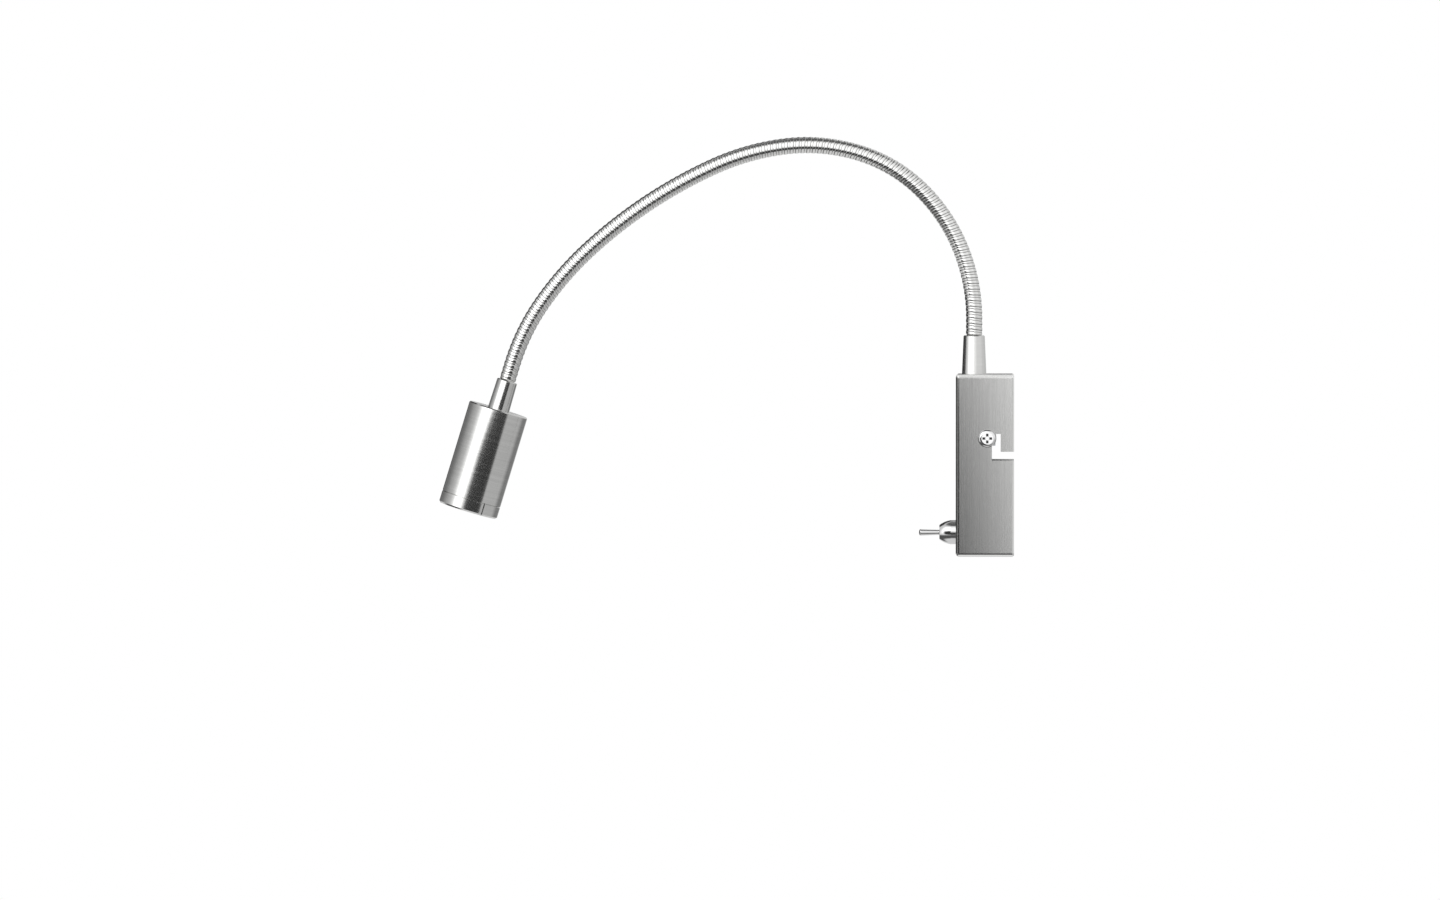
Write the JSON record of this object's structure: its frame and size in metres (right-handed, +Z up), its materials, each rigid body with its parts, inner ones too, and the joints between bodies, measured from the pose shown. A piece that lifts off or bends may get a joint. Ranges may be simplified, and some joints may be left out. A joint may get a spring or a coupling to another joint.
{
  "type": "wall reading lamp",
  "caption": "Wall reading lamp: brushed metal box that hangs on a wall bracket, bendable ribbed metal neck, small cylindrical spot head and a toggle switch on the box.",
  "frame": {"origin": "middle of the housing's open back, on the wall's surface", "axes": "+Z up the wall, +Y into the wall, -Y out into the room along the lamp's reach"},
  "size_m": [0.0352, 0.2874, 0.2093],
  "materials": {
    "housing_metal": "satin, brushed upright",
    "head_metal": "satin, turned and brushed round",
    "ferrule_metal": "fine brushed",
    "neck_chrome": "polished wound wire",
    "screw_chrome": "polished",
    "zinc_steel": "bright zinc plate",
    "brass": "plain",
    "black_plastic": "moulded",
    "white_plastic": "moulded",
    "switch_blue": "moulded",
    "black_rubber": "matt",
    "grey_foam": "open foam",
    "board_green": "solder mask",
    "board_white": "white solder mask",
    "component_yellow": "taped",
    "emitter_yellow": "phosphor",
    "sink_aluminium": "as turned",
    "clear_lens": "clear moulded",
    "clear_glass": "polished",
    "wire_brown": "insulation",
    "wire_black": "insulation",
    "wire_blue": "insulation",
    "cable_sheath": "sheath"
  },
  "bodies": {
    "base": {"housing": "housing_metal", "wall_bracket": "zinc_steel", "clamp_screws": "screw_chrome", "clamp_nuts": "zinc_steel", "cable_bush": "black_rubber", "base_ferrule": "ferrule_metal", "ferrule_washer": "zinc_steel", "ferrule_nut": "zinc_steel", "driver_pad": "grey_foam", "driver_case": "black_plastic", "driver_lid": "black_plastic", "driver_board": "board_green", "driver_components": "component_yellow", "terminal_pad": "grey_foam", "terminal_block": "white_plastic", "terminal_screws": "brass", "live_wire": "wire_brown", "switched_wire": "wire_black", "neutral_wire": "wire_blue", "neck_cable": "cable_sheath", "switch_dome_nut": "screw_chrome", "switch_bushing": "screw_chrome", "switch_lock_washer": "zinc_steel", "switch_hex_nut": "zinc_steel", "switch_frame": "zinc_steel", "switch_body": "switch_blue", "switch_terminals": "brass", "neck_tube_1": "neck_chrome", "neck_flex_1": "neck_chrome"},
    "neck_link_2": {"neck_tube_2": "neck_chrome", "neck_flex_2": "neck_chrome"},
    "neck_link_3": {"neck_tube_3": "neck_chrome", "neck_flex_3": "neck_chrome"},
    "neck_link_4": {"neck_tube_4": "neck_chrome", "neck_flex_4": "neck_chrome"},
    "neck_link_5": {"neck_tube_5": "neck_chrome", "neck_flex_5": "neck_chrome"},
    "neck_link_6": {"neck_tube_6": "neck_chrome", "neck_flex_6": "neck_chrome"},
    "neck_link_7": {"neck_tube_7": "neck_chrome", "neck_flex_7": "neck_chrome"},
    "neck_link_8": {"neck_tube_8": "neck_chrome", "neck_flex_8": "neck_chrome"},
    "head": {"neck_tube_9": "neck_chrome", "head_ferrule": "ferrule_metal", "head_washer": "zinc_steel", "head_nut": "zinc_steel", "head_body": "head_metal", "heat_sink": "sink_aluminium", "led_board": "board_white", "led_emitter": "emitter_yellow", "board_screws": "zinc_steel", "lens_holder": "black_plastic", "lens": "clear_lens", "glass_seal": "black_rubber", "front_glass": "clear_glass", "front_ring": "head_metal"},
    "switch_lever": {"switch_lever": "screw_chrome"},
    "switch_rocker": {"switch_rocker": "brass"}
  },
  "joints": [
    {"name": "neck_bend_1", "type": "hinge", "parent": "base", "child": "neck_link_2", "pos_m": [0, -0.02574, 0.10562], "axis": [1, 0, 0], "range_deg": [-32, 10], "deforming": ["neck_flex_1", "neck_cable"]},
    {"name": "neck_swing_1", "type": "hinge", "parent": "neck_link_2", "child": "neck_link_3", "pos_m": [0, -0.04577, 0.13676], "axis": [0, -0.7071, -0.7071], "range_deg": [-25, 25], "deforming": ["neck_flex_2", "neck_cable"]},
    {"name": "neck_bend_2", "type": "hinge", "parent": "neck_link_3", "child": "neck_link_4", "pos_m": [0, -0.07744, 0.15578], "axis": [1, 0, 0], "range_deg": [-32, 10], "deforming": ["neck_flex_3", "neck_cable"]},
    {"name": "neck_bend_3", "type": "hinge", "parent": "neck_link_4", "child": "neck_link_5", "pos_m": [0, -0.11433, 0.15901], "axis": [1, 0, 0], "range_deg": [-32, 10], "deforming": ["neck_flex_4", "neck_cable"]},
    {"name": "neck_swing_2", "type": "hinge", "parent": "neck_link_5", "child": "neck_link_6", "pos_m": [0, -0.1501, 0.14892], "axis": [0, 0.4147, -0.91], "range_deg": [-25, 25], "deforming": ["neck_flex_5", "neck_cable"]},
    {"name": "neck_bend_4", "type": "hinge", "parent": "neck_link_6", "child": "neck_link_7", "pos_m": [0, -0.1827, 0.13085], "axis": [1, 0, 0], "range_deg": [-32, 14], "deforming": ["neck_flex_6", "neck_cable"]},
    {"name": "neck_swing_3", "type": "hinge", "parent": "neck_link_7", "child": "neck_link_8", "pos_m": [0, -0.21207, 0.1079], "axis": [0, 0.6756, -0.7373], "range_deg": [-25, 25], "deforming": ["neck_flex_7", "neck_cable"]},
    {"name": "neck_bend_5", "type": "hinge", "parent": "neck_link_8", "child": "head", "pos_m": [0, -0.2365, 0.07981], "axis": [1, 0, 0], "range_deg": [-32, 20], "deforming": ["neck_flex_8", "neck_cable"]},
    {"name": "lever_throw", "type": "hinge", "parent": "base", "child": "switch_lever", "pos_m": [0, -0.031, -0.0337], "axis": [0, 0, 1], "range_deg": [-24, 0]},
    {"name": "rocker_tilt", "type": "hinge", "parent": "base", "child": "switch_rocker", "pos_m": [0, -0.0166, -0.0337], "axis": [0, 0, 1], "range_deg": [0, 16]}
  ],
  "couplings": [
    {"joint": "rocker_tilt", "follows": "lever_throw", "ratio": -0.6666}
  ]
}
